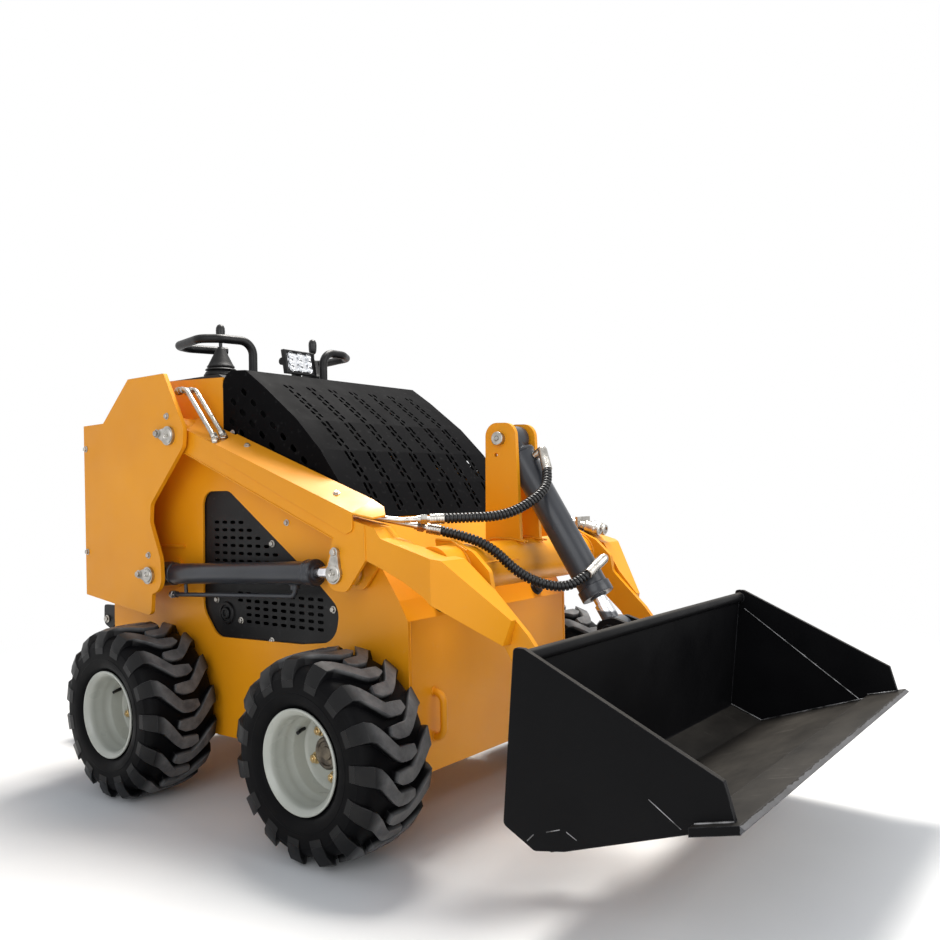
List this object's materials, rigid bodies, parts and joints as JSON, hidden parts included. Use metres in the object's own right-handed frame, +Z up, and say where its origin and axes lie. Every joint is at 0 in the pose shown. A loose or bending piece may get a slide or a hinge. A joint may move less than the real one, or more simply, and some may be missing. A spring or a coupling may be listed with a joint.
{
  "type": "stand-on skid steer loader",
  "caption": "Compact stand-on skid steer loader with a lifting boom, a tilting bucket on a hitch plate, hydraulic cylinders and lugged wheels.",
  "frame": {"origin": "centre of the footprint of the bounding box, on the ground", "axes": "+X forward towards the bucket, +Y to the machine's left, +Z up"},
  "size_m": [2.419, 1.131, 1.3328],
  "materials": {
    "yellow_paint": "satin",
    "black_paint": "satin",
    "grey_paint": "satin",
    "rim_paint": "satin",
    "chrome": "polished",
    "zinc": "satin",
    "steel": "worn",
    "tyre": "matt",
    "rubber": "matt",
    "plastic": "matt",
    "cast": "cast"
  },
  "bodies": {
    "chassis": {"chassis_shell": "yellow_paint", "tower_right": "yellow_paint", "tower_left": "yellow_paint", "hood_guard": "black_paint", "side_guards": "black_paint", "engine_block": "cast", "console": "black_paint", "handlebars": "black_paint", "joysticks": "plastic", "work_lamp": "plastic", "tow_loops": "yellow_paint", "bump_stops": "rubber", "platform_brackets": "black_paint", "tower_pins": "zinc"},
    "platform": {"platform": "black_paint"},
    "boom": {"arm_right": "yellow_paint", "arm_left": "yellow_paint", "arm_covers": "yellow_paint", "cross_member": "yellow_paint", "arm_pins": "zinc", "arm_lines": "zinc", "hose_upper": "rubber", "hose_lower": "rubber"},
    "lift_barrel_right": {"lift_barrel_right": "grey_paint"},
    "lift_rod_right": {"lift_rod_right": "chrome"},
    "lift_barrel_left": {"lift_barrel_left": "grey_paint"},
    "lift_rod_left": {"lift_rod_left": "chrome"},
    "tilt_barrel": {"tilt_barrel": "grey_paint", "tilt_fittings": "zinc"},
    "tilt_rod": {"tilt_rod": "chrome"},
    "bucket": {"bucket_shell": "black_paint", "cutting_edge": "steel", "hitch": "black_paint"},
    "wheel_front_right": {"tyre_front_right": "tyre", "rim_front_right": "rim_paint", "hub_front_right": "zinc"},
    "wheel_front_left": {"tyre_front_left": "tyre", "rim_front_left": "rim_paint", "hub_front_left": "zinc"},
    "wheel_rear_right": {"tyre_rear_right": "tyre", "rim_rear_right": "rim_paint", "hub_rear_right": "zinc"},
    "wheel_rear_left": {"tyre_rear_left": "tyre", "rim_rear_left": "rim_paint", "hub_rear_left": "zinc"}
  },
  "joints": [
    {"name": "boom_lift", "type": "hinge", "parent": "chassis", "child": "boom", "pos_m": [-0.4295, 0, 0.982], "axis": [0, -1, 0], "range_deg": [-4, 72]},
    {"name": "bucket_tilt", "type": "hinge", "parent": "boom", "child": "bucket", "pos_m": [0.6975, 0, 0.285], "axis": [0, 1, 0], "range_deg": [-5, 115]},
    {"name": "lift_barrel_right_turn", "type": "hinge", "parent": "chassis", "child": "lift_barrel_right", "pos_m": [-0.5315, -0.37925, 0.597], "axis": [0, -1, 0], "range_deg": [-2.91, 51.41]},
    {"name": "lift_rod_right_slide", "type": "slide", "parent": "lift_barrel_right", "child": "lift_rod_right", "axis": [0.9989, 0, 0.0458], "range_m": [-0.0213, 0.3492]},
    {"name": "lift_barrel_left_turn", "type": "hinge", "parent": "chassis", "child": "lift_barrel_left", "pos_m": [-0.5315, 0.37925, 0.597], "axis": [0, -1, 0], "range_deg": [-2.91, 51.41]},
    {"name": "lift_rod_left_slide", "type": "slide", "parent": "lift_barrel_left", "child": "lift_rod_left", "axis": [0.9989, 0, 0.0458], "range_m": [-0.0213, 0.3492]},
    {"name": "tilt_barrel_turn", "type": "hinge", "parent": "boom", "child": "tilt_barrel", "pos_m": [0.4065, 0, 0.9465], "axis": [0, 1, 0], "range_deg": [-0.26, 0.2]},
    {"name": "tilt_rod_slide", "type": "slide", "parent": "tilt_barrel", "child": "tilt_rod", "axis": [0.535, 0, -0.8448], "range_m": [-0.0168, 0.3427]},
    {"name": "platform_fold", "type": "hinge", "parent": "chassis", "child": "platform", "pos_m": [-0.9065, 0, 0.214], "axis": [0, 1, 0], "range_deg": [0, 85]},
    {"name": "wheel_front_right_spin", "type": "hinge", "parent": "chassis", "child": "wheel_front_right", "pos_m": [0.215, -0.459, 0.2325], "axis": [0, 1, 0], "continuous": true},
    {"name": "wheel_front_left_spin", "type": "hinge", "parent": "chassis", "child": "wheel_front_left", "pos_m": [0.215, 0.459, 0.2325], "axis": [0, 1, 0], "continuous": true},
    {"name": "wheel_rear_right_spin", "type": "hinge", "parent": "chassis", "child": "wheel_rear_right", "pos_m": [-0.544, -0.459, 0.2325], "axis": [0, 1, 0], "continuous": true},
    {"name": "wheel_rear_left_spin", "type": "hinge", "parent": "chassis", "child": "wheel_rear_left", "pos_m": [-0.544, 0.459, 0.2325], "axis": [0, 1, 0], "continuous": true}
  ],
  "couplings": [
    {"joint": "lift_barrel_right_turn", "follows": "boom_lift", "ratio": 0.71326},
    {"joint": "lift_rod_right_slide", "follows": "boom_lift", "m_per_rad": 0.27633},
    {"joint": "lift_barrel_left_turn", "follows": "boom_lift", "ratio": 0.71326},
    {"joint": "lift_rod_left_slide", "follows": "boom_lift", "m_per_rad": 0.27633},
    {"joint": "tilt_barrel_turn", "follows": "bucket_tilt", "ratio": -0.00052},
    {"joint": "tilt_rod_slide", "follows": "bucket_tilt", "m_per_rad": 0.16976}
  ]
}
